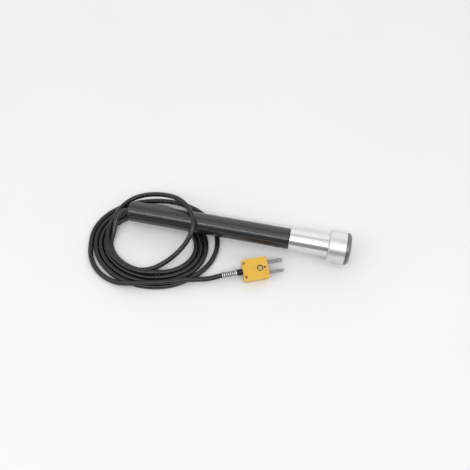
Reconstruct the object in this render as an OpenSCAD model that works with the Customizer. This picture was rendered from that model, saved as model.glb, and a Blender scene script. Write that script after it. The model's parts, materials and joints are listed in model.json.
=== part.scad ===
// Surface-temperature thermocouple, type K: a straight hand probe with its cable and miniature connector.
//
// The probe's axis runs along X, at the height of the guard ring's radius, so the probe lies on z = 0.
// The sensing tip points to +X and the cable leaves the handle at -X. The origin is under the middle of
// the probe. Turned pieces are drawn as outlines of [radius, x] and spun about the probe's axis.

/* [Handle] */
// Outside diameter of the handle
handle_d = 16; // [15:0.1:16.4]
// Length of the handle, its end plug included
handle_len = 126; // [122:1:128]
// Bore of the handle tube
handle_bore = 12.4; // [12.2:0.1:13]

/* [Neck] */
// Outside diameter of the neck sleeve
neck_d = 17.4; // [16.8:0.1:19]
// Length of the neck that shows between the handle and the guard ring
neck_len = 29.5; // [26:0.5:36]

/* [Head] */
// Outside diameter of the guard ring
guard_d = 24.5; // [24.5:0.1:25.5]
// Length of the guard ring
guard_len = 13.1; // [13:0.1:16]
// Outside diameter of the nose ring
nose_d = 24; // [22.5:0.1:24.2]
// Length of the nose ring that shows
nose_len = 3.4; // [3:0.1:4.5]
// Diameter of the sensing face
face_d = 15.84; // [15.6:0.02:15.88]
// How far the contact band stands out of the nose ring at rest
band_proud = 1; // [0.8:0.1:1.2]

/* [Cable] */
// Outside diameter of the cable
cable_d = 3.8; // [3.4:0.1:3.8]
// Distance between neighbouring turns of the coil
lane = 3.9; // [3.9:0.05:4.1]

/* [Connector] */
// Length of the connector's body, along its blades
plug_len = 19.1; // [18:0.1:20]
// Width of the connector's body
plug_w = 16.3; // [16:0.1:17]
// Height of the connector's body
plug_h = 7.9; // [7.7:0.1:8.5]
// Distance between the two blades
blade_gap = 7.9; // [7.5:0.1:8.2]
// How far the blades stand out of the body
blade_len = 12.1; // [10:0.1:14]
// Angle between the connector and the probe
plug_turn = 22.7; // [21:0.1:24]
// How far the connector leans over to the -Y side, standing on the long edge of its base
plug_lean = 15; // [12:1:17]

/* [Hidden] */

$fn = 96;
small_fn = 32;
gap = 0.05;      // between pieces that are assembled and don't move
chamfer = 0.4;

// The probe's stations along X, from the cable end to the tip
probe_len = handle_len + neck_len + guard_len + nose_len + band_proud;
rear_x = -probe_len / 2;
handle_x = rear_x + handle_len;
neck_x = handle_x + neck_len;
guard_x = neck_x + guard_len;
nose_x = guard_x + nose_len;
axis_z = guard_d / 2;

// Handle
plug_flange = 1.2;
plug_depth = 10;
gland_lip = 1.5;
gland_bore = cable_d / 2;
jacket_r = cable_d / 2 - gap;
jacket_end = rear_x + 24;
lead_r = 0.65;
lead_y = 1.4;
lead_end = neck_x - 8;
spigot_len = 16;
grub_r = 1.5;
grub_x = handle_x - 8;

// Head
neck_bore = 4;
wall = 3.5;           // rear wall of the guard ring
neck_spigot_r = 7.4;
cavity_r = 10.2;
nose_spigot = 1.8;
nose_bore = 8;
seat_thick = 0.6;
seat_bore = neck_spigot_r;
seat_x = neck_x + wall;
flange_r = 9.8;
flange_len = 1.85;
flange_x = guard_x - nose_spigot - gap - flange_len;
core_rear_r = 7;
core_rear_x = flange_x - 2.4;
face_x = nose_x + 0.1;
spring_wire = 0.7;
spring_r = 8.6;
spring_turns = 3.5;

// Contact band: a thin strap across the face, with a leg through the core at each side
band_w = 3;
band_t = 0.25;
band_y = 6.6;
band_bow = 0.45;
band_front = nose_x + 0.8;
band_bend = (band_y * band_y + band_bow * band_bow) / (2 * band_bow);
junction_r = 1.2;
slot_clear = 0.3;
terminal_t = 0.8;
terminal_x = core_rear_x - terminal_t;
terminal_y = 5.2;
band_screw_y = terminal_y - 0.7;
band_screw_hole = 0.65;

// Connector: its own frame has +X along the blades and its origin under the middle of the body
plug_at = [18.3, -27.9];
split_z = 4.4;
blade_z = plug_h / 2;
plug_z = plug_w / 2 * sin(plug_lean) + blade_z * cos(plug_lean);
blade_t = 0.8;
blade_in = 7;
terminal_in = 1.6;    // from a blade's inner end to its screw
wide_blade = 3.2;
narrow_blade = 2.4;
corner_r = 1.2;
pocket_from = -6.2;
pocket_to = 6;
pocket_w = 11.6;
pocket_low = 2;
pocket_high = 6.2;
boss_r = 2.6;
boot_in = 2.3;
passage_r = 1.4;
screw_x = 3.6;
screw_sink = 1.5;
rivet_at = [-7.9, 5.2];
rivet_r = 1.15;
boot_len = 4.3;
boot_r = 2.35;
guard_spring_len = 12.5;
guard_wire = 0.8;
guard_pitch = 1.6;

// The coil: flat turns, each a lane wider than the last, about one middle. A turn begins on the -Y side
// and goes round by +X. The last turn swells away from the others where it passes under the handle.
coil_middle = [-64.5, -20];
coil_half = [33.5, 24.5];
coil_from = 0.125;
coil_to = 3.75;
swell = 6;
swell_turn = 3.36;
swell_half = 0.25;
coil_steps = 48;      // straight sides in each turn of its outline

// The cable's free stretches, chosen by hand: out of the handle and round below the coil's inner turn,
// up and over the handle, round on top of the coil, and from the coil's outer turn to the connector.
lead_out_route = [
    [rear_x, 0, axis_z], [rear_x - 2, 0, axis_z], [-92, -1, 12], [-95, -4, 11], [-96, -8.5, 9],
    [-96.3, -13.5, 6], [-96.6, -19, 3.2], [-96.4, -25, 1.9], [-92.9, -32, 1.9], [-87.8, -37, 1.9],
    [-81, -41, 1.9], [-73, -43.5, 1.9], [-66, -43.5, 1.9], [-58.6, -40.6, 2], [-51.6, -36, 3.8],
    [-45, -30.1, 6.6], [-39.8, -23.8, 9.8], [-36, -17.8, 13.8], [-33.9, -12, 17.8], [-33.6, -6.6, 20.8],
    [-35.4, -1.2, 22.4], [-39.6, 4.4, 22.8]
];
over_loop_route = [
    [-39.6, 4.4, 22.8], [-45.8, 10.2, 21.8], [-53.4, 14.8, 19.2], [-62, 17.4, 16.2], [-71.4, 18.4, 13],
    [-80.6, 17.8, 9.8], [-88.4, 15.2, 7.2], [-94.4, 9.4, 5.9], [-98, 1.6, 5.8], [-99.6, -6.5, 5.8],
    [-100.2, -13, 5.8], [-99.8, -20, 5.5], [-98.2, -26.6, 5.3], [-94.8, -33, 5.3], [-89.2, -38.4, 5.3],
    [-82, -42.6, 5.3], [-73.6, -45.4, 5.3], [-64.5, -46.5, 5.4], [-55.6, -44.8, 4.7], [-47.4, -41.5, 2.4],
    [-40.5, -37.7, 1.9]
];
tail_route = [
    [-112.6, -20, 1.9], [-111.2, -29.8, 1.9], [-108.4, -38.8, 1.9], [-103.2, -46.8, 1.9], [-96, -52.8, 1.9],
    [-88.2, -56.2, 1.9], [-80.4, -57.8, 2.9], [-72.2, -57.6, 5.2], [-63.8, -56, 5.7], [-55.4, -54, 5.6],
    [-47.2, -51.8, 5.6], [-39.6, -49.4, 5.7], [-31, -46.4, 5.7], [-23.5, -44, 4.3], [-16, -41.7, 3.6],
    [-10, -39.6, 4.6], [-4.8, -37.5, plug_z], [0.8, -35.2, plug_z], [6.3, -32.9, plug_z],
    [11.6, -30.7, plug_z]
];

function unit(v) = v / norm(v);

function heading(points, i) =
    unit(points[min(i + 1, len(points) - 1)] - points[max(i - 1, 0)]);

// A ring of points round p, square to the heading d; ref is a direction that d never takes
function ring(p, d, r, sides, ref) =
    let (s = unit(cross(d, ref)), t = cross(s, d))
    [for (i = [0 : sides - 1]) p + r * (cos(360 * i / sides) * s + sin(360 * i / sides) * t)];

function helix(r, x0, x1, turns, steps) =
    [for (i = [0 : turns * steps])
        [x0 + (x1 - x0) * i / (turns * steps), r * cos(360 * i / steps), r * sin(360 * i / steps)]];

// The middle of the cable after n turns of the coil, moved sideways by side
function swollen(n) =
    let (past = (n - swell_turn) / swell_half)
    abs(past) < 1 ? swell * pow(cos(90 * past), 2) : 0;
function coil_point(n, side = 0) =
    let (a = 360 * n - 90, out = lane * n + side + swollen(n))
    [coil_middle.x + (coil_half.x + out) * cos(a), coil_middle.y + (coil_half.y + out) * sin(a)];

// A round tube through the points
module sweep(points, r, sides, ref = [0, 0, 1]) {
    n = len(points);
    skin = [for (i = [0 : n - 1]) each ring(points[i], heading(points, i), r, sides, ref)];
    walls = [for (i = [0 : n - 2], j = [0 : sides - 1])
        let (k = (j + 1) % sides)
        each [
            [i * sides + j, i * sides + k, (i + 1) * sides + k],
            [i * sides + j, (i + 1) * sides + k, (i + 1) * sides + j]
        ]];
    first = [for (j = [sides - 1 : -1 : 0]) j];
    last = [for (j = [0 : sides - 1]) (n - 1) * sides + j];
    polyhedron(skin, concat([first, last], walls), convexity = 6);
}

// Spins an outline of [radius, x] about the probe's axis
module turned(outline) {
    translate([0, 0, axis_z]) rotate([0, 90, 0]) rotate_extrude() polygon(outline);
}

// A rod along X, on the probe's axis or beside it by y
module rod(r, x0, x1, y = 0) {
    translate([x0, y, axis_z]) rotate([0, 90, 0]) cylinder(r = r, h = x1 - x0, $fn = small_fn);
}

// ---------------------------------------------------------------- handle

module handle_tube() {
    r = handle_d / 2;
    b = handle_bore / 2;
    x0 = rear_x + plug_flange;
    color([0.13, 0.13, 0.14])
    difference() {
        turned([[b, x0], [r - chamfer, x0], [r, x0 + chamfer], [r, handle_x - chamfer],
                [r - chamfer, handle_x], [b, handle_x]]);
        translate([grub_x, -r - 1, axis_z]) rotate([-90, 0, 0])
            cylinder(r = grub_r + gap, h = handle_d + 2, $fn = small_fn);
    }
}

module end_plug() {
    r = handle_d / 2;
    s = handle_bore / 2 - gap;
    bore = 3.1;
    color([0.1, 0.1, 0.11])
    turned([[bore, rear_x], [r - 1, rear_x], [r - chamfer, rear_x + 0.6],
            [r - chamfer, rear_x + plug_flange], [s, rear_x + plug_flange], [s, rear_x + plug_depth],
            [bore, rear_x + plug_depth]]);
}

module cable_gland() {
    neck = 3.05;
    collar = 4.2;
    x1 = rear_x + plug_depth + gap;
    color([0.08, 0.08, 0.09])
    turned([[gland_bore, rear_x - gland_lip], [2.6, rear_x - gland_lip], [3.7, rear_x - gap],
            [neck, rear_x - gap], [neck, x1], [collar, x1], [collar, x1 + 1.5], [2.6, x1 + 8],
            [gland_bore, x1 + 8]]);
}

module cable_inside() {
    color([0.12, 0.12, 0.13]) rod(jacket_r, rear_x, jacket_end);
}

module cable_ferrule() {
    x0 = rear_x + plug_depth + 8.2;
    color([0.75, 0.72, 0.62])
    turned([[gland_bore, x0], [2.7, x0], [2.9, x0 + 0.4], [2.9, x0 + 4.6], [2.7, x0 + 5],
            [gland_bore, x0 + 5]]);
}

module lead(side) {
    rod(lead_r, jacket_end + gap, lead_end, y = side * lead_y);
}

module positive_lead() { color([0.9, 0.75, 0.15]) lead(1); }

module negative_lead() { color([0.75, 0.12, 0.1]) lead(-1); }

module handle_screws() {
    outer = handle_d / 2 - 0.3;
    color([0.45, 0.45, 0.47])
    for (turn = [0, 180])
        translate([grub_x, 0, axis_z]) rotate([turn, 0, 0])
        difference() {
            translate([0, neck_bore + 1, 0]) rotate([-90, 0, 0])
                cylinder(r = grub_r, h = outer - neck_bore - 1, $fn = small_fn);
            translate([0, outer - 1, 0]) rotate([-90, 0, 0]) cylinder(d = 1.7, h = 2, $fn = 6);
        }
}

// ---------------------------------------------------------------- neck

module neck_sleeve() {
    r = neck_d / 2;
    s = handle_bore / 2 - gap;
    x0 = handle_x - spigot_len;
    color([0.86, 0.87, 0.87])
    difference() {
        turned([[neck_bore, x0], [s - chamfer, x0], [s, x0 + chamfer], [s, handle_x + gap],
                [r - chamfer, handle_x + gap], [r, handle_x + chamfer], [r, neck_x - gap],
                [neck_spigot_r, neck_x - gap], [neck_spigot_r, neck_x + wall - 1],
                [neck_bore, neck_x + wall - 1]]);
        for (turn = [0, 180])
            translate([grub_x, 0, axis_z]) rotate([turn, 0, 0]) rotate([-90, 0, 0])
                cylinder(r = grub_r + gap, h = r, $fn = small_fn);
    }
}

module lead_insulator() {
    x0 = handle_x - 6;
    x1 = lead_end - gap;
    color([0.95, 0.95, 0.93])
    difference() {
        rod(neck_bore - gap, x0, x1);
        for (side = [-1, 1]) rod(lead_r + gap, x0 - 1, x1 + 1, y = side * lead_y);
    }
}

module lead_crimps() {
    color([0.8, 0.65, 0.3])
    for (side = [-1, 1])
        difference() {
            rod(1.1, lead_end + gap, lead_end + 5, y = side * lead_y);
            rod(0.3, lead_end + 1, lead_end + 6, y = side * lead_y);
        }
}

// ---------------------------------------------------------------- head

module guard_ring() {
    r = guard_d / 2;
    bore = neck_spigot_r + gap;
    step = 1.1;
    color([0.88, 0.88, 0.88])
    turned([[bore, neck_x], [r - step, neck_x], [r, neck_x + step], [r, guard_x - 0.2], [r - 0.2, guard_x],
            [cavity_r, guard_x], [cavity_r, neck_x + wall], [bore, neck_x + wall]]);
}

module nose_ring() {
    r = nose_d / 2;
    bevel_r = 2;
    bevel_len = 1.5;
    spigot = cavity_r - gap;
    color([0.55, 0.55, 0.56])
    turned([[nose_bore, guard_x - nose_spigot], [spigot, guard_x - nose_spigot], [spigot, guard_x + gap],
            [r, guard_x + gap], [r, nose_x - bevel_len], [r - bevel_r, nose_x], [nose_bore + 0.3, nose_x],
            [nose_bore, nose_x - 0.3]]);
}

module spring_seat() {
    color([0.7, 0.7, 0.72])
    turned([[seat_bore, seat_x + gap], [cavity_r - gap, seat_x + gap], [cavity_r - gap, seat_x + seat_thick],
            [seat_bore, seat_x + seat_thick]]);
}

module return_spring() {
    x0 = seat_x + seat_thick + spring_wire / 2 + gap;
    x1 = flange_x - spring_wire / 2 - gap;
    color([0.6, 0.6, 0.63])
    translate([0, 0, axis_z])
        sweep(helix(spring_r, x0, x1, spring_turns, 24), spring_wire / 2, 8, ref = [1, 0, 0]);
}

// The bare wires from the crimps to the terminals behind the core
module band_tails() {
    wire = 0.22;
    bend_x = neck_x + 1;
    end_x = terminal_x - band_t - gap;
    end_y = band_y - 0.5;
    color([0.6, 0.58, 0.55])
    for (side = [-1, 1])
        translate([0, 0, axis_z])
            sweep([[lead_end + 2, side * lead_y, 0], [bend_x, side * lead_y, 0],
                   [bend_x + 1.5, side * (lead_y + 1), 0], [end_x - 2.2, side * (end_y - 0.8), 0],
                   [end_x - 1, side * end_y, 0], [end_x, side * end_y, 0]], wire, 8);
}

// ---------------------------------------------------------------- sensing core, which slides

module sensor_core() {
    r = face_d / 2;
    slot = band_t + 2 * slot_clear;
    color([0.93, 0.9, 0.84])
    difference() {
        turned([[0, core_rear_x], [core_rear_r, core_rear_x], [core_rear_r, flange_x], [flange_r, flange_x],
                [flange_r, flange_x + flange_len], [r, flange_x + flange_len], [r, face_x - 0.3],
                [r - 0.3, face_x], [0, face_x]]);
        for (side = [-1, 1]) {
            translate([core_rear_x - 1, side * band_y - slot / 2, axis_z - band_w / 2 - slot_clear])
                cube([face_x - core_rear_x + 2, slot, band_w + 2 * slot_clear]);
            rod(band_screw_hole, core_rear_x - 1, core_rear_x + 3, y = side * band_screw_y);
        }
    }
}

// One half of the band, on the +Y side: half of the bowed strap, the leg, and the foot behind the core
module band_half() {
    middle = band_front - band_bend;
    leg_front = face_x + 0.35;
    foot_y = terminal_y - 2;
    difference() {
        translate([middle, 0, axis_z - band_w / 2]) difference() {
            cylinder(r = band_bend, h = band_w, $fn = 180);
            translate([0, 0, -1]) cylinder(r = band_bend - band_t, h = band_w + 2, $fn = 180);
            translate([-2 * band_bend, -2 * band_bend, -1]) cube([4 * band_bend, 2 * band_bend, band_w + 2]);
            translate([-2 * band_bend, band_y, -1]) cube([4 * band_bend, 2 * band_bend, band_w + 2]);
            translate([-2 * band_bend, -1, -1]) cube([2 * band_bend, 2 * band_bend, band_w + 2]);
        }
        rod(junction_r, band_front - 3, band_front + 3);
    }
    translate([terminal_x - band_t, band_y - band_t / 2, axis_z - band_w / 2])
        cube([leg_front - terminal_x + band_t, band_t, band_w]);
    difference() {
        translate([terminal_x - band_t, foot_y, axis_z - band_w / 2])
            cube([band_t, band_y - foot_y, band_w]);
        rod(band_screw_hole, terminal_x - 3, terminal_x + 3, y = band_screw_y);
    }
}

module band_positive() { color([0.72, 0.7, 0.66]) band_half(); }

module band_negative() { color([0.6, 0.61, 0.64]) mirror([0, 1, 0]) band_half(); }

module contact_junction() {
    low = band_front - band_t - 0.1;
    top = band_front + 0.2;
    color([0.5, 0.49, 0.48])
    turned([[0, low], [junction_r, low], [junction_r, band_front - 0.05], [junction_r - 0.25, top - 0.05],
            [junction_r - 0.6, top], [0, top]]);
}

module band_terminals() {
    color([0.82, 0.68, 0.32])
    for (side = [-1, 1])
        difference() {
            translate([terminal_x, side * (terminal_y - 0.6) - 1.4, axis_z - 1.6])
                cube([terminal_t, 2.8, 3.2]);
            rod(band_screw_hole, terminal_x - 1, core_rear_x + 1, y = side * band_screw_y);
        }
}

module band_screws() {
    head_x = terminal_x - band_t - 0.8;
    color([0.7, 0.7, 0.72])
    for (side = [-1, 1])
        difference() {
            union() {
                rod(1.1, head_x, terminal_x - band_t, y = side * band_screw_y);
                rod(0.6, head_x, core_rear_x + 2.8, y = side * band_screw_y);
            }
            translate([head_x - 1, side * band_screw_y - 2, axis_z - 0.15]) cube([1.4, 4, 0.3]);
        }
}

// ---------------------------------------------------------------- cable

module cable_colour() { color([0.13, 0.13, 0.14]) children(); }

module cable_lead_out() { cable_colour() sweep(lead_out_route, cable_d / 2, 8); }

module cable_over_loop() { cable_colour() sweep(over_loop_route, cable_d / 2, 8); }

module cable_tail() { cable_colour() sweep(tail_route, cable_d / 2, 8); }

// The outer shape of the coil's flat turns, from the inner side of the first to the outer side of the last
module cable_coil() {
    inner = [for (i = [0 : coil_steps]) coil_point(coil_from + i / coil_steps, -cable_d / 2)];
    outer = [for (i = [coil_steps : -1 : 0]) coil_point(coil_to - 1 + i / coil_steps, cable_d / 2)];
    cable_colour()
    linear_extrude(cable_d)
        difference() {
            polygon(outer);
            polygon(inner);
        }
}

// ---------------------------------------------------------------- connector

module at_plug() {
    translate([plug_at.x, plug_at.y, plug_z]) rotate([0, 0, plug_turn]) rotate([plug_lean, 0, 0])
        translate([0, 0, -blade_z]) children();
}

// A rod along the connector's middle line
module plug_rod(r, x0, x1) {
    translate([x0, 0, blade_z]) rotate([0, 90, 0]) cylinder(r = r, h = x1 - x0, $fn = small_fn);
}

module rounded_slab(size, r, h) {
    linear_extrude(h) {
        square([size.x - 2 * r, size.y], center = true);
        square([size.x, size.y - 2 * r], center = true);
        for (sx = [-1, 1], sy = [-1, 1])
            translate([sx * (size.x / 2 - r), sy * (size.y / 2 - r)]) circle(r, $fn = small_fn);
    }
}

// The hollow inside the connector, between two heights, around the cover screw's boss
module plug_pocket(low, high) {
    difference() {
        translate([pocket_from, -pocket_w / 2, low]) cube([pocket_to - pocket_from, pocket_w, high - low]);
        translate([screw_x, 0, low - 1]) cylinder(r = boss_r, h = high - low + 2, $fn = small_fn);
    }
}

module plug_holes() {
    translate([screw_x, 0, -1]) cylinder(r = 1.1, h = plug_h + 2, $fn = small_fn);
    for (side = [-1, 1]) {
        translate([rivet_at.x, side * rivet_at.y, -1])
            cylinder(r = rivet_r + gap, h = plug_h + 2, $fn = small_fn);
        w = (side > 0 ? wide_blade : narrow_blade) + 2 * gap;
        translate([plug_len / 2 - blade_in, side * blade_gap / 2 - w / 2, blade_z - blade_t / 2 - gap])
            cube([blade_in + 1, w, blade_t + 2 * gap]);
    }
    plug_rod(boot_r + gap, -plug_len / 2 - 1, -plug_len / 2 + boot_in + gap);
    plug_rod(passage_r, -plug_len / 2, pocket_from + 1);
}

module plug_base() {
    color([0.93, 0.7, 0.2])
    at_plug() difference() {
        rounded_slab([plug_len, plug_w], corner_r, split_z);
        plug_pocket(pocket_low, plug_h);
        plug_holes();
    }
}

module plug_cover() {
    recess_r = 2.4;
    mark_x = plug_len / 2 - 2.25;
    mark_depth = 1.2;
    mark_r = 0.8;
    color([0.93, 0.7, 0.2])
    at_plug() difference() {
        translate([0, 0, split_z + gap]) rounded_slab([plug_len, plug_w], corner_r, plug_h - split_z - gap);
        plug_pocket(0, pocket_high);
        translate([screw_x, 0, plug_h - screw_sink])
            cylinder(r = recess_r, h = screw_sink + 1, $fn = small_fn);
        translate([mark_x, 0, plug_h - mark_depth]) cylinder(r = mark_r, h = 2, $fn = small_fn);
        plug_holes();
    }
}

module cover_screw() {
    head = 0.9;
    low = 1;
    top = plug_h - screw_sink + head;
    color([0.8, 0.7, 0.45])
    at_plug() translate([screw_x, 0, 0]) difference() {
        union() {
            translate([0, 0, top - head]) cylinder(r = 1.6, h = head, $fn = small_fn);
            translate([0, 0, low]) cylinder(r = 1, h = top - low, $fn = small_fn);
        }
        rotate([0, 0, 35]) translate([-2, -0.25, top - 0.5]) cube([4, 0.5, 1]);
    }
}

module cover_rivets() {
    color([0.72, 0.58, 0.3])
    at_plug() for (side = [-1, 1])
        translate([rivet_at.x, side * rivet_at.y, 0.4]) difference() {
            cylinder(r = rivet_r, h = plug_h - 0.5, $fn = small_fn);
            translate([0, 0, plug_h - 1.3]) cylinder(r = rivet_r - 0.35, h = 2, $fn = small_fn);
        }
}

// A flat blade with a rounded tip and a small hole near it
module blade(w, side) {
    x0 = plug_len / 2 - blade_in + gap;
    x1 = plug_len / 2 + blade_len;
    y = side * blade_gap / 2;
    at_plug() translate([0, y, blade_z - blade_t / 2]) difference() {
        union() {
            translate([x0, -w / 2, 0]) cube([x1 - w / 2 - x0, w, blade_t]);
            translate([x1 - w / 2, 0, 0]) cylinder(d = w, h = blade_t, $fn = small_fn);
        }
        translate([x1 - w / 2, 0, -1]) cylinder(r = 0.5, h = blade_t + 2, $fn = small_fn);
        translate([x0 + terminal_in, 0, -1]) cylinder(r = 0.65, h = blade_t + 2, $fn = small_fn);
    }
}

module positive_blade() { color([0.78, 0.76, 0.7]) blade(narrow_blade, -1); }

module negative_blade() { color([0.7, 0.7, 0.72]) blade(wide_blade, 1); }

module terminal_screws() {
    x = plug_len / 2 - blade_in + gap + terminal_in;
    low = pocket_low + 0.1;
    top = blade_z + blade_t / 2 + 0.55;
    color([0.75, 0.72, 0.65])
    at_plug() for (side = [-1, 1])
        translate([x, side * blade_gap / 2, 0]) difference() {
            union() {
                translate([0, 0, low]) cylinder(r = 0.6, h = top - low, $fn = small_fn);
                translate([0, 0, top]) cylinder(r = 1.15, h = 0.9, $fn = small_fn);
            }
            translate([-2, -0.15, top + 0.5]) cube([4, 0.3, 1]);
        }
}

// A conductor from the cable's end to its blade's screw
module plug_core(side) {
    wire = 0.4;
    x0 = -plug_len / 2 + boot_in + 2 * gap;
    x1 = plug_len / 2 - blade_in;
    at_plug() sweep([[x0, side * 0.6, blade_z], [x0 + 1.6, side * 0.8, blade_z],
                     [x0 + 4, side * 3, blade_z], [x1 - 1, side * (blade_gap / 2), blade_z],
                     [x1, side * blade_gap / 2, blade_z]], wire, 8);
}

module positive_core() { color([0.9, 0.75, 0.15]) plug_core(-1); }

module negative_core() { color([0.75, 0.12, 0.1]) plug_core(1); }

module plug_boot() {
    x1 = -plug_len / 2 + boot_in;
    color([0.07, 0.07, 0.08])
    at_plug() difference() {
        plug_rod(boot_r, -plug_len / 2 - boot_len, x1);
        plug_rod(cable_d / 2 + gap, -plug_len / 2 - boot_len - 1, x1 + 1);
    }
}

module bend_guard() {
    x1 = -plug_len / 2 - boot_len - guard_wire / 2 - gap;
    turns = (guard_spring_len - guard_wire) / guard_pitch;
    color([0.82, 0.82, 0.84])
    at_plug() translate([0, 0, blade_z])
        sweep(helix(cable_d / 2 + gap + guard_wire / 2, x1 - turns * guard_pitch, x1, floor(turns), 20),
              guard_wire / 2, 8, ref = [1, 0, 0]);
}

handle_tube();
end_plug();
cable_gland();
cable_inside();
cable_ferrule();
positive_lead();
negative_lead();
handle_screws();
neck_sleeve();
lead_insulator();
lead_crimps();
guard_ring();
nose_ring();
spring_seat();
return_spring();
band_tails();
sensor_core();
band_positive();
band_negative();
contact_junction();
band_terminals();
band_screws();
cable_lead_out();
cable_over_loop();
cable_coil();
cable_tail();
bend_guard();
plug_boot();
plug_base();
plug_cover();
cover_screw();
cover_rivets();
positive_blade();
negative_blade();
terminal_screws();
positive_core();
negative_core();
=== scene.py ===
"""A surface thermocouple probe with its coiled cable and miniature connector, lying on a pale floor.

Lengths are in millimetres wherever a name or comment doesn't say otherwise; mm() turns them into metres.
"""

import json
import math

import bpy
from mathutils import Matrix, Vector


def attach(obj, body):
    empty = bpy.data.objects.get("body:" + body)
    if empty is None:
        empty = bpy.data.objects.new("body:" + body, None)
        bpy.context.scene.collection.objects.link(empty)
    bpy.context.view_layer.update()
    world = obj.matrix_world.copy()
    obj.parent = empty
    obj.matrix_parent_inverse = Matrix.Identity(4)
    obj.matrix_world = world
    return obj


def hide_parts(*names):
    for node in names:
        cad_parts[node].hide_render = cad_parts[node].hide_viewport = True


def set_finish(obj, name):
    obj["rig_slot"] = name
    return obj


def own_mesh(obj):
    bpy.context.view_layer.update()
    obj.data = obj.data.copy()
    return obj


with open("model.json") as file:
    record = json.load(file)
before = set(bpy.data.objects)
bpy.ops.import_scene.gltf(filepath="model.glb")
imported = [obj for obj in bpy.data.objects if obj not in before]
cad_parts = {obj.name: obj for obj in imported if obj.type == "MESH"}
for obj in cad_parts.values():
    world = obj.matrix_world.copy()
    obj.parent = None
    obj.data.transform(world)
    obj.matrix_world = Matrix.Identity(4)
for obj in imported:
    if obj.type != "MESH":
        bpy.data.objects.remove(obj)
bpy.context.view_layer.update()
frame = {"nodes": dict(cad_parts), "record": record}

NODES = frame["nodes"]


def mm(*values):
    """Millimetres as metres: one number, or a tuple of several."""
    scaled = tuple(value / 1000 for value in values)
    return scaled[0] if len(scaled) == 1 else scaled


# ---------------------------------------------------------------- camera

CAMERA_AIM = (-3.2, 1.9, 0)
CAMERA_AZIMUTH = 11.6
CAMERA_ELEVATION = 60
CAMERA_DISTANCE = 463
CAMERA_LENS = 44.9


def direction(azimuth, elevation):
    """The unit vector to something seen at these angles. Azimuth 0 is towards -Y, and 90 towards +X."""
    a, e = math.radians(azimuth), math.radians(elevation)
    return Vector((math.sin(a) * math.cos(e), -math.cos(a) * math.cos(e), math.sin(e)))


def aim(obj, place, target):
    """Puts obj at place, in metres, with its -Z axis towards target."""
    obj.location = place
    obj.rotation_euler = (Vector(target) - Vector(place)).to_track_quat("-Z", "Y").to_euler()


def make_camera():
    """The camera, looking down at the probe from its front and a little from its tip's side."""
    camera = bpy.data.objects.new("camera", bpy.data.cameras.new("camera"))
    bpy.context.scene.collection.objects.link(camera)
    camera.data.lens = CAMERA_LENS
    camera.data.clip_start = 0.01
    target = Vector(mm(*CAMERA_AIM))
    back = direction(CAMERA_AZIMUTH, CAMERA_ELEVATION)
    aim(camera, target + back * mm(CAMERA_DISTANCE), target)
    bpy.context.scene.camera = camera


make_camera()

# ---------------------------------------------------------------- cable

CABLE_RADIUS = 1.9
LANE = 3.9
COIL_MIDDLE = (-64.5, -20)
COIL_HALF = (33.5, 24.5)
COIL_FROM = 0.125
COIL_TO = 3.75
SWELL = 6
SWELL_TURN = 3.36
SWELL_HALF = 0.25

# Out of the handle, round below the coil's inner turn, and up over the handle
LEAD_OUT = [
    (-86.5, 0, 12.25), (-88.5, 0, 12.25), (-92, -1, 12), (-95, -4, 11), (-96, -8.5, 9), (-96.3, -13.5, 6),
    (-96.6, -19, 3.2), (-96.4, -25, 1.9), (-92.9, -32, 1.9), (-87.8, -37, 1.9), (-81, -41, 1.9),
    (-73, -43.5, 1.9), (-66, -43.5, 1.9), (-58.6, -40.6, 2), (-51.6, -36, 3.8), (-45, -30.1, 6.6),
    (-39.8, -23.8, 9.8), (-36, -17.8, 13.8), (-33.9, -12, 17.8), (-33.6, -6.6, 20.8), (-35.4, -1.2, 22.4),
]
# Round on top of the coil and down to its inner turn
OVER_LOOP = [
    (-39.6, 4.4, 22.8), (-45.8, 10.2, 21.8), (-53.4, 14.8, 19.2), (-62, 17.4, 16.2), (-71.4, 18.4, 13),
    (-80.6, 17.8, 9.8), (-88.4, 15.2, 7.2), (-94.4, 9.4, 5.9), (-98, 1.6, 5.8), (-99.6, -6.5, 5.8),
    (-100.2, -13, 5.8), (-99.8, -20, 5.5), (-98.2, -26.6, 5.3), (-94.8, -33, 5.3), (-89.2, -38.4, 5.3),
    (-82, -42.6, 5.3), (-73.6, -45.4, 5.3), (-64.5, -46.5, 5.4), (-55.6, -44.8, 4.7), (-47.4, -41.5, 2.4),
]
# From the coil's outer turn, beside it, over it and on to the connector
TAIL = [
    (-112.6, -20, 1.9), (-111.2, -29.8, 1.9), (-108.4, -38.8, 1.9), (-103.2, -46.8, 1.9), (-96, -52.8, 1.9),
    (-88.2, -56.2, 1.9), (-80.4, -57.8, 2.9), (-72.2, -57.6, 5.2), (-63.8, -56, 5.7), (-55.4, -54, 5.6),
    (-47.2, -51.8, 5.6), (-39.6, -49.4, 5.7), (-31, -46.4, 5.7), (-23.5, -44, 4.3), (-16, -41.7, 3.6),
    (-10, -39.6, 4.6), (-4.8, -37.5, 5.925), (0.8, -35.2, 5.925), (6.3, -32.9, 5.925), (11.6, -30.7, 5.925),
]


def coil_point(turns):
    """The cable's middle after so many turns of the coil. The last turn swells out below the handle."""
    angle = math.radians(360 * turns - 90)
    out = LANE * turns
    past = (turns - SWELL_TURN) / SWELL_HALF
    if abs(past) < 1:
        out += SWELL * math.cos(math.radians(90 * past)) ** 2
    return (COIL_MIDDLE[0] + (COIL_HALF[0] + out) * math.cos(angle),
            COIL_MIDDLE[1] + (COIL_HALF[1] + out) * math.sin(angle),
            CABLE_RADIUS)


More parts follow.
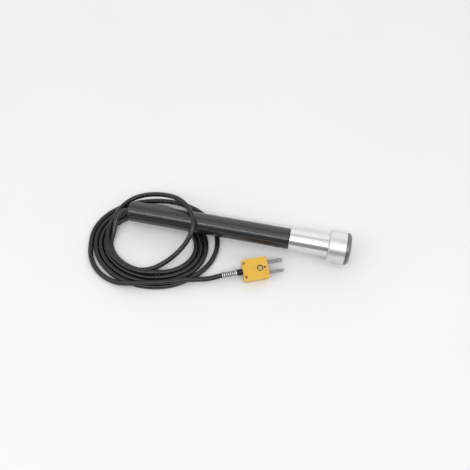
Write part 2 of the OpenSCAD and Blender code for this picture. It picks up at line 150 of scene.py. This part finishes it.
def smooth_line(points, step):
    """Points about step apart on a centripetal Catmull-Rom spline through the given ones."""
    p = [Vector(point) for point in points]
    p = [2 * p[0] - p[1], *p, 2 * p[-1] - p[-2]]
    line = [p[1]]
    for a, b, c, d in zip(p, p[1:], p[2:], p[3:]):
        t0 = 0
        t1 = t0 + math.sqrt((b - a).length)
        t2 = t1 + math.sqrt((c - b).length)
        t3 = t2 + math.sqrt((d - c).length)
        count = max(1, round((c - b).length / step))
        for i in range(1, count + 1):
            t = t1 + (t2 - t1) * i / count
            ab = a.lerp(b, (t - t0) / (t1 - t0))
            bc = b.lerp(c, (t - t1) / (t2 - t1))
            cd = c.lerp(d, (t - t2) / (t3 - t2))
            abc = ab.lerp(bc, (t - t0) / (t2 - t0))
            bcd = bc.lerp(cd, (t - t1) / (t3 - t1))
            line.append(abc.lerp(bcd, (t - t1) / (t2 - t1)))
    return line


def tube(name, line, radius, resolution):
    """A round curve object along the line's points, closed at both ends. Its points carry the radius."""
    data = bpy.data.curves.new(name, "CURVE")
    data.dimensions = "3D"
    data.bevel_depth = 1
    data.bevel_resolution = resolution
    data.use_fill_caps = True
    spline = data.splines.new("POLY")
    spline.points.add(len(line) - 1)
    for point, place in zip(spline.points, line):
        point.co = (*mm(*place), 1)
        point.radius = mm(radius)
    made = bpy.data.objects.new(name, data)
    bpy.context.scene.collection.objects.link(made)
    return made


def cable_line():
    """The cable's middle line from the handle to the connector, no lower than it can lie."""
    points_in_a_turn = 32
    step = 1.5
    count = round((COIL_TO - COIL_FROM) * points_in_a_turn)
    coil = [coil_point(COIL_FROM + (COIL_TO - COIL_FROM) * i / count) for i in range(count)]
    line = smooth_line(LEAD_OUT + OVER_LOOP + coil + TAIL, step)
    for point in line:
        point.z = max(point.z, CABLE_RADIUS)
    return line


cable = tube("cable", cable_line(), CABLE_RADIUS, 6)
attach(cable, "probe")
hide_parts("cable_lead_out", "cable_over_loop", "cable_coil", "cable_tail")
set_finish(cable, "cable_jacket")

# ---------------------------------------------------------------- springs and bare wires

AXIS_HEIGHT = 12.25

# The connector leans over by PLUG_LEAN about its blades' direction. Its own directions are along the blades
# from the middle of its front face, across them, and out of its cover.
PLUG_LEAN = math.radians(15)
PLUG = next(mount for mount in frame["record"]["mounts"] if mount["name"] == "connector_blades")
PLUG_FRONT = Vector(PLUG["pos_m"]) * 1000
PLUG_ALONG = Vector(PLUG["axis"]).normalized()
VERTICAL = Vector((0, 0, 1))
LEVEL = VERTICAL.cross(PLUG_ALONG)
PLUG_ACROSS = math.cos(PLUG_LEAN) * LEVEL + math.sin(PLUG_LEAN) * VERTICAL
PLUG_UP = PLUG_ALONG.cross(PLUG_ACROSS)


def behind_plug_front(back, across, up):
    """A place that far behind the connector's front face, to its side and above its blades."""
    return PLUG_FRONT - back * PLUG_ALONG + across * PLUG_ACROSS + up * PLUG_UP


def coiled(radius, stations, steps):
    """Points (x, y, z) of a helix about X that passes each of the stations after one more turn."""
    line = []
    for start, end in zip(stations, stations[1:]):
        for i in range(steps):
            share = i / steps
            angle = 2 * math.pi * share
            line.append((start + (end - start) * share, radius * math.cos(angle), radius * math.sin(angle)))
    line.append((stations[-1], radius, 0))
    return line


def as_mesh(obj):
    """Turns a curve object into a mesh one."""
    graph = bpy.context.evaluated_depsgraph_get()
    mesh = bpy.data.meshes.new_from_object(obj.evaluated_get(graph))
    made = bpy.data.objects.new(obj.name, mesh)
    bpy.context.scene.collection.objects.link(made)
    name = obj.name
    bpy.data.objects.remove(obj)
    made.name = name
    return made


def make_bend_guard():
    """The nickel spring round the cable behind the connector, with a closed turn at each end."""
    wire_radius = 0.4
    coil_radius = 2.36
    front = 23.45
    closed_turn = 0.82
    open_turn = 1.58
    open_turns = 6
    stations = [front + wire_radius]
    for pitch in (closed_turn, *[open_turn] * open_turns, closed_turn):
        stations.append(stations[-1] + pitch)
    line = [behind_plug_front(*place) for place in coiled(coil_radius, stations, 32)]
    made = tube("bend_guard_coil", line, wire_radius, 3)
    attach(made, "probe")
    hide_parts("bend_guard")
    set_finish(made, "nickel_spring")
    return made


def make_return_spring():
    """The spring behind the sensing core: a closed turn at each end and two open ones between."""
    wire_radius = 0.35
    coil_radius = 8.6
    seat, flange = 73.1, 78.4
    closed_turn = 0.74
    rear, front = seat + wire_radius, flange - wire_radius
    stations = [rear, rear + closed_turn, (rear + front) / 2, front - closed_turn, front]
    line = [(x, y, AXIS_HEIGHT + z) for x, y, z in coiled(coil_radius, stations, 64)]
    made = as_mesh(tube("return_spring_coil", line, wire_radius, 3))
    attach(made, "probe")
    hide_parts("return_spring")
    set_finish(made, "spring_steel")
    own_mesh(made)
    return made


def make_band_tails():
    """The two bare wires from the crimps to the terminals behind the core."""
    wire_radius = 0.22
    route = [
        (63, 1.4), (66, 1.4), (69, 1.45), (71.2, 2.3),
        (72.4, 4.4), (73.2, 5.7), (74, 6.1), (74.9, 6.1),
    ]
    line = smooth_line([(x, y, AXIS_HEIGHT) for x, y in route], 0.3)
    for name, side in (("positive_tail_wire", 1), ("negative_tail_wire", -1)):
        made = as_mesh(tube(name, [(x, side * y, z) for x, y, z in line], wire_radius, 3))
        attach(made, "probe")
        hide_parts("band_tails")
        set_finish(made, "bare_wire")
        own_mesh(made)
        yield made


bend_guard = make_bend_guard()
return_spring = make_return_spring()
tail_wires = list(make_band_tails())

# ---------------------------------------------------------------- materials


class Look:
    """One Principled material. Its texture coordinates are the piece's own, in millimetres."""

    def __init__(self, name, **settings):
        self.material = bpy.data.materials.new(name)
        self.material.use_nodes = True
        self.tree = self.material.node_tree
        self.shader = self.tree.nodes["Principled BSDF"]
        for socket, value in settings.items():
            self.shader.inputs[socket.replace("_", " ")].default_value = value
        place = self.add("ShaderNodeTexCoord").outputs["Object"]
        self.place = self.add("ShaderNodeMapping", Vector=place, Scale=(1000, 1000, 1000)).outputs["Vector"]
        self.normal = None

    def add(self, kind, operation=None, **inputs):
        """A new node. An input is a number, a colour, or another node's output."""
        node = self.tree.nodes.new(kind)
        if operation:
            node.operation = operation
        for name, value in inputs.items():
            self.feed(node.inputs[name.replace("_", " ")], value)
        return node

    def feed(self, socket, value):
        if isinstance(value, bpy.types.NodeSocket):
            self.tree.links.new(value, socket)
        else:
            socket.default_value = value

    def noise(self, scale, stretch=(1, 1, 1), detail=3, roughness=0.55):
        """A noise from 0 to 1, with about scale features in a millimetre. Stretch draws it out."""
        squeezed = tuple(scale / s for s in stretch)
        place = self.add("ShaderNodeMapping", Vector=self.place, Scale=squeezed).outputs["Vector"]
        node = self.add("ShaderNodeTexNoise", Vector=place, Scale=1, Detail=detail, Roughness=roughness)
        return node.outputs["Fac"]

    def between(self, value, low, high, start=0.3, end=0.7):
        """The value's start to end as low to high, held beyond them."""
        node = self.add("ShaderNodeMapRange", Value=value, From_Min=start, From_Max=end,
                        To_Min=low, To_Max=high)
        return node.outputs["Result"]

    def blend(self, share, first, second):
        """A colour between first, at share 0, and second, at share 1."""
        node = self.tree.nodes.new("ShaderNodeMix")
        node.data_type = "RGBA"
        self.feed(node.inputs[0], share)
        for socket, colour in ((node.inputs[6], first), (node.inputs[7], second)):
            self.feed(socket, (*colour, 1) if isinstance(colour, tuple) else colour)
        return node.outputs[2]

    def edges(self, radius):
        """From 0 on flat faces to 1 at edges sharper than the radius."""
        rounded = self.add("ShaderNodeBevel", Radius=mm(radius)).outputs["Normal"]
        plain = self.add("ShaderNodeNewGeometry").outputs["Normal"]
        along = self.add("ShaderNodeVectorMath", "DOT_PRODUCT")
        self.feed(along.inputs[0], rounded)
        self.feed(along.inputs[1], plain)
        return self.between(along.outputs["Value"], 1, 0, 0.86, 0.995)

    def bump(self, height, depth):
        """Raises the surface by depth where height is 1."""
        node = self.add("ShaderNodeBump", Height=height, Strength=1, Distance=mm(depth))
        if self.normal is not None:
            self.feed(node.inputs["Normal"], self.normal)
        self.normal = node.outputs["Normal"]

    def finish(self, colour, roughness):
        """Joins the colour, roughness and bumps to the shader, and returns the material."""
        self.feed(self.shader.inputs["Base Color"], (*colour, 1) if isinstance(colour, tuple) else colour)
        self.feed(self.shader.inputs["Roughness"], roughness)
        if self.normal is not None:
            self.feed(self.shader.inputs["Normal"], self.normal)
        return self.material


def moulded(name, colour, edge_wear_and_highlight, roughness, grain, depth, **settings):
    """Moulded plastic or rubber: a fine even grain, cloudy gloss, and edges painted lighter, partly rubbed
    wear and partly a painted highlight.
    """
    look = Look(name, **settings)
    cloud = look.noise(0.12, detail=4)
    tone = look.blend(look.between(cloud, 0, 1), colour, tuple(c * 0.8 for c in colour))
    # Edges painted lighter: rubbed wear and a painted highlight.
    tone = look.blend(look.between(look.edges(0.35), 0, 0.5, 0, 1), tone, edge_wear_and_highlight)
    look.bump(look.noise(grain), depth)
    look.bump(look.noise(0.5, detail=2), depth * 2)
    return look.finish(tone, look.between(look.noise(0.35), roughness - 0.06, roughness + 0.06))


def handle_plastic():
    """Black extruded plastic: faint drawing lines along X, a fine grain and a few light scuffs."""
    look = Look("handle_plastic", Specular_IOR_Level=0.8)
    cloud = look.between(look.noise(0.1, stretch=(4, 1, 1)), 0, 1)
    tone = look.blend(cloud, (0.006, 0.006, 0.008), (0.01, 0.01, 0.012))
    scuffs = look.between(look.noise(1.6, stretch=(9, 1, 1), detail=6), 0, 0.5, 0.66, 0.8)
    tone = look.blend(scuffs, tone, (0.05, 0.05, 0.052))
    # Painted highlight: edges painted a lighter grey, in place of the glint of a rounded edge.
    tone = look.blend(look.between(look.edges(0.3), 0, 0.6, 0, 1), tone, (0.07, 0.07, 0.072))
    look.bump(look.noise(7), 0.012)
    look.bump(look.noise(2.5, stretch=(60, 1, 1)), 0.012)
    return look.finish(tone, look.between(look.noise(0.4, stretch=(5, 1, 1)), 0.2, 0.27))


def cable_jacket():
    """Smooth black PVC, slightly uneven, with a little dust."""
    look = Look("cable_jacket", Specular_IOR_Level=0.5)
    tone = look.blend(look.between(look.noise(0.15), 0, 1), (0.005, 0.005, 0.007), (0.009, 0.009, 0.011))
    dust = look.between(look.noise(1.3, detail=6), 0, 0.3, 0.6, 0.8)
    tone = look.blend(dust, tone, (0.05, 0.05, 0.049))
    look.bump(look.noise(5), 0.01)
    look.bump(look.noise(0.35, detail=1), 0.05)
    return look.finish(tone, look.between(look.noise(0.6), 0.22, 0.32))


def turned(name, colour, dark, roughness, groove, depth, pull=0.55):
    """Metal turned on a lathe: fine grooves round the probe's axis, a painted highlight on its edges and
    faint stains.

    Pull is how much its highlights are drawn out along the axis.
    """
    look = Look(name, Metallic=1, Anisotropic=pull)
    tangent = look.add("ShaderNodeTangent")
    tangent.direction_type = "RADIAL"
    tangent.axis = "X"
    look.feed(look.shader.inputs["Tangent"], tangent.outputs["Tangent"])
    lines = look.noise(groove, stretch=(1, 40, 40), detail=5, roughness=0.7)
    tone = look.blend(look.between(lines, 0, 1, 0.25, 0.75), dark, colour)
    stains = look.between(look.noise(0.18, detail=4), 0, 0.35, 0.5, 0.75)
    tone = look.blend(stains, tone, tuple(c * 0.8 for c in colour))
    # Painted highlight: edges painted near white, the glint a rounded edge would catch.
    tone = look.blend(look.between(look.edges(0.25), 0, 0.7, 0, 1), tone, (0.95, 0.95, 0.95))
    look.bump(lines, depth)
    return look.finish(tone, look.between(look.noise(0.5), roughness - 0.04, roughness + 0.05))


def plain_metal(name, colour, dark, roughness, grain=3, depth=0.01):
    """Small metal parts: a fine random grain, duller in patches, with a painted highlight on their edges.
    """
    look = Look(name, Metallic=1)
    tone = look.blend(look.between(look.noise(0.5, detail=4), 0, 1), colour, dark)
    edge_highlight = tuple(min(1, c * 1.35) for c in colour)
    # Painted highlight: edges painted paler, standing in for the glint of a rounded edge.
    tone = look.blend(look.between(look.edges(0.12), 0, 0.6, 0, 1), tone, edge_highlight)
    look.bump(look.noise(grain), depth)
    return look.finish(tone, look.between(look.noise(1.2), roughness - 0.07, roughness + 0.08))


def ceramic():
    """Fired ceramic: off-white and matt, with fine pores and a faint scorch."""
    look = Look("ceramic", Subsurface_Weight=0.05)
    tone = look.blend(look.between(look.noise(0.3), 0, 1), (0.8, 0.76, 0.67), (0.7, 0.64, 0.54))
    pores = look.between(look.noise(6, detail=2), 0, 0.5, 0.62, 0.75)
    tone = look.blend(pores, tone, (0.45, 0.4, 0.33))
    look.bump(look.noise(8), 0.015)
    return look.finish(tone, look.between(look.noise(1), 0.55, 0.75))


def weld():
    """The band's welded junction, tinted by heat."""
    look = Look("weld", Metallic=1)
    tone = look.blend(look.between(look.noise(1.2), 0, 1), (0.5, 0.42, 0.3), (0.2, 0.22, 0.36))
    look.bump(look.noise(3), 0.04)
    return look.finish(tone, look.between(look.noise(2), 0.3, 0.5))


# The painted shade in the connector's cover: the floor and wall of its round polarity mark painted dark as
# the hole's shade, and one side of the screw's recess painted darker, the side where its shade falls. Each
# has its place behind the front face, across, and above the blades, the radius within which it is darkest,
# the radius at which it ends, and its colour.
PAINTED_HOLLOW_SHADE = [
    ((2.25, 0, 2.75), 1.25, 1.4, (0.03, 0.015, 0.004)),
    ((5.95, 0.35, 2.45), 2.25, 2.75, (0.12, 0.055, 0.009)),
]


def plug_yellow():
    """Amber moulded plastic: a fine grain, cloudy colour, paler edges (rubbed wear and a painted highlight)
    and painted shade in its hollows.
    """
    look = Look("plug_yellow", Specular_IOR_Level=0.5, Subsurface_Weight=0.06, Subsurface_Scale=0.001,
                Subsurface_Radius=(1, 0.5, 0.2))
    cloud = look.between(look.noise(0.16, detail=4), 0, 1)
    tone = look.blend(cloud, (0.7, 0.425, 0.04), (0.63, 0.355, 0.027))
    specks = look.between(look.noise(2.2, detail=5), 0, 0.3, 0.62, 0.75)
    tone = look.blend(specks, tone, (0.44, 0.23, 0.017))
    # Edges painted paler: rubbed wear and a painted highlight.
    tone = look.blend(look.between(look.edges(0.4), 0, 0.45, 0, 1), tone, (0.77, 0.51, 0.13))
    # Painted shade: the tone turns to each hollow's dark colour within its darkest radius and fades out by
    # its end radius.
    for place, full_shade_radius, shade_end_radius, dark in PAINTED_HOLLOW_SHADE:
        away = look.add("ShaderNodeVectorMath", "DISTANCE")
        look.feed(away.inputs[0], look.place)
        look.feed(away.inputs[1], behind_plug_front(*place))
        tone = look.blend(look.between(away.outputs["Value"], 1, 0, full_shade_radius, shade_end_radius), tone, dark)
    look.bump(look.noise(6), 0.015)
    look.bump(look.noise(0.3, detail=1), 0.05)
    return look.finish(tone, look.between(look.noise(0.5), 0.3, 0.42))


# The look of each of the record's material slots
LOOKS = {
    "handle_plastic": handle_plastic(),
    "cable_jacket": cable_jacket(),
    "black_rubber": moulded("black_rubber", (0.006, 0.006, 0.007), (0.03, 0.03, 0.03),
                            roughness=0.5, grain=5, depth=0.02, Specular_IOR_Level=0.35),
    "plated_brass": plain_metal("plated_brass", (0.75, 0.6, 0.33), (0.6, 0.46, 0.24), 0.32),
    "lead_yellow": moulded("lead_yellow", (0.8, 0.52, 0.04), (0.9, 0.7, 0.25),
                           roughness=0.35, grain=6, depth=0.008),
    "lead_red": moulded("lead_red", (0.5, 0.035, 0.03), (0.7, 0.2, 0.17),
                        roughness=0.35, grain=6, depth=0.008),
    "dark_steel": plain_metal("dark_steel", (0.16, 0.16, 0.17), (0.09, 0.09, 0.1), 0.42),
    "satin_aluminium": turned("satin_aluminium", (0.76, 0.77, 0.76), (0.72, 0.73, 0.72),
                              roughness=0.18, groove=2.2, depth=0.0012),
    "matt_aluminium": turned("matt_aluminium", (0.75, 0.76, 0.75), (0.69, 0.7, 0.69),
                             roughness=0.34, groove=2.2, depth=0.003, pull=0.2),
    "white_polymer": moulded("white_polymer", (0.85, 0.85, 0.82), (0.9, 0.9, 0.88),
                             roughness=0.5, grain=4, depth=0.01),
    "brushed_steel": turned("brushed_steel", (0.21, 0.21, 0.215), (0.16, 0.16, 0.165),
                            roughness=0.32, groove=2.2, depth=0.003),
    "spring_steel": plain_metal("spring_steel", (0.5, 0.5, 0.52), (0.36, 0.36, 0.38), 0.3),
    "bare_wire": plain_metal("bare_wire", (0.62, 0.58, 0.52), (0.48, 0.45, 0.4), 0.34),
    "ceramic": ceramic(),
    "positive_alloy": plain_metal("positive_alloy", (0.3, 0.29, 0.275), (0.2, 0.19, 0.175), 0.3),
    "negative_alloy": plain_metal("negative_alloy", (0.27, 0.275, 0.29), (0.18, 0.185, 0.2), 0.3),
    "weld": weld(),
    "screw_steel": plain_metal("screw_steel", (0.66, 0.66, 0.67), (0.5, 0.5, 0.52), 0.28),
    "nickel_spring": plain_metal("nickel_spring", (0.83, 0.82, 0.8), (0.7, 0.69, 0.67), 0.16, depth=0.004),
    "plug_yellow": plug_yellow(),
    "screw_brass": plain_metal("screw_brass", (0.62, 0.46, 0.25), (0.45, 0.32, 0.17), 0.3),
    "rivet_brass": plain_metal("rivet_brass", (0.42, 0.27, 0.11), (0.2, 0.12, 0.05), 0.38),
}


def dress():
    """Gives every CAD node and every new piece its slot's look."""
    slots = {part["node"]: part["material_slot"] for part in frame["record"]["subparts"]}
    for name, node in NODES.items():
        node.data.materials.clear()
        node.data.materials.append(LOOKS[slots[name]])
    for piece in (cable, bend_guard, return_spring, *tail_wires):
        piece.data.materials.clear()
        piece.data.materials.append(LOOKS[piece["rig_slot"]])


dress()

# ---------------------------------------------------------------- rounded edges

# The pieces whose sharp edges are rounded, and how far. The handle tube and the blades aren't among them,
# because the rounding would crease their faces round their holes.
EDGE_RADII = {
    "plug_base": 0.3,
    "plug_cover": 0.3,
    "guard_ring": 0.12,
    "nose_ring": 0.12,
    "neck_sleeve": 0.12,
    "end_plug": 0.15,
}


def round_edges(obj, radius):
    """Rounds the sharp edges of a CAD node with modifiers."""
    weld_points = obj.modifiers.new("weld", "WELD")
    weld_points.merge_threshold = mm(0.001)
    bevel = obj.modifiers.new("bevel", "BEVEL")
    bevel.width = mm(radius)
    bevel.segments = 3
    bevel.limit_method = "ANGLE"
    bevel.angle_limit = math.radians(30)
    bevel.harden_normals = False
    normals = obj.modifiers.new("normals", "WEIGHTED_NORMAL")
    normals.weight = 80


for node_name, edge_radius in EDGE_RADII.items():
    round_edges(NODES[node_name], edge_radius)

# ---------------------------------------------------------------- floor and light

# The sky's glow by how far its direction points towards +Y, from -1 in front to 1 behind
SKY = [
    (-1, 0.22), (-0.8, 0.26), (-0.62, 1.05), (0.02, 1.08),
    (0.16, 0.62), (0.42, 0.62), (0.62, 0.96), (1, 0.92),
]
SKY_STRENGTH = 1.2


def make_floor():
    """A plain pale sheet, 4 m across."""
    bpy.ops.mesh.primitive_plane_add(size=4)
    floor = bpy.context.object
    floor.name = "floor"
    look = Look("floor_paper")
    tone = look.blend(look.between(look.noise(0.01), 0, 1), (0.765, 0.765, 0.765), (0.78, 0.78, 0.78))
    floor.data.materials.append(look.finish(tone, 0.9))


def make_backdrop():
    """A pale wall round the floor. Only the camera sees it, so it leaves the light as it is."""
    height = 1.6
    bpy.ops.mesh.primitive_cylinder_add(vertices=96, radius=1.9, depth=height, end_fill_type="NOTHING",
                                        location=(0, 0, height / 2))
    backdrop = bpy.context.object
    backdrop.name = "backdrop"
    backdrop.visible_diffuse = False
    backdrop.visible_glossy = False
    backdrop.visible_transmission = False
    backdrop.visible_shadow = False
    look = Look("backdrop_paper", Emission_Color=(0.88, 0.88, 0.88, 1), Emission_Strength=1)
    backdrop.data.materials.append(look.finish((0, 0, 0), 1))


def make_light(name, azimuth, elevation, distance, size, power):
    """A rectangular light seen from the probe at these angles. Size is (width, height) in metres."""
    data = bpy.data.lights.new(name, "AREA")
    data.shape = "RECTANGLE"
    data.size, data.size_y = size
    data.energy = power
    light = bpy.data.objects.new(name, data)
    bpy.context.scene.collection.objects.link(light)
    aim(light, direction(azimuth, elevation) * distance, (0, 0, 0))


def make_sky():
    """A soft studio: a dim front wall, a bright panel overhead, a gap behind it, and a pale back wall."""
    world = bpy.data.worlds.new("studio")
    world.use_nodes = True
    bpy.context.scene.world = world
    tree = world.node_tree
    place = tree.nodes.new("ShaderNodeTexCoord")
    split = tree.nodes.new("ShaderNodeSeparateXYZ")
    share = tree.nodes.new("ShaderNodeMapRange")
    share.inputs["From Min"].default_value = -1
    share.inputs["From Max"].default_value = 1
    ramp = tree.nodes.new("ShaderNodeValToRGB")
    ramp.color_ramp.interpolation = "EASE"
    stops = ramp.color_ramp.elements
    while len(stops) < len(SKY):
        stops.new(0.5)
    for stop, (place_y, glow) in zip(stops, SKY):
        stop.position = (place_y + 1) / 2
        stop.color = (glow, glow, glow, 1)
    tree.links.new(place.outputs["Generated"], split.inputs[0])
    tree.links.new(split.outputs["Y"], share.inputs["Value"])
    tree.links.new(share.outputs["Result"], ramp.inputs["Fac"])
    background = tree.nodes["Background"]
    background.inputs["Strength"].default_value = SKY_STRENGTH
    tree.links.new(ramp.outputs["Color"], background.inputs["Color"])


make_floor()
make_backdrop()
make_sky()
make_light("strip", azimuth=0, elevation=55, distance=0.8, size=(1.2, 0.06), power=1.7)
bpy.context.scene.view_settings.view_transform = "Standard"
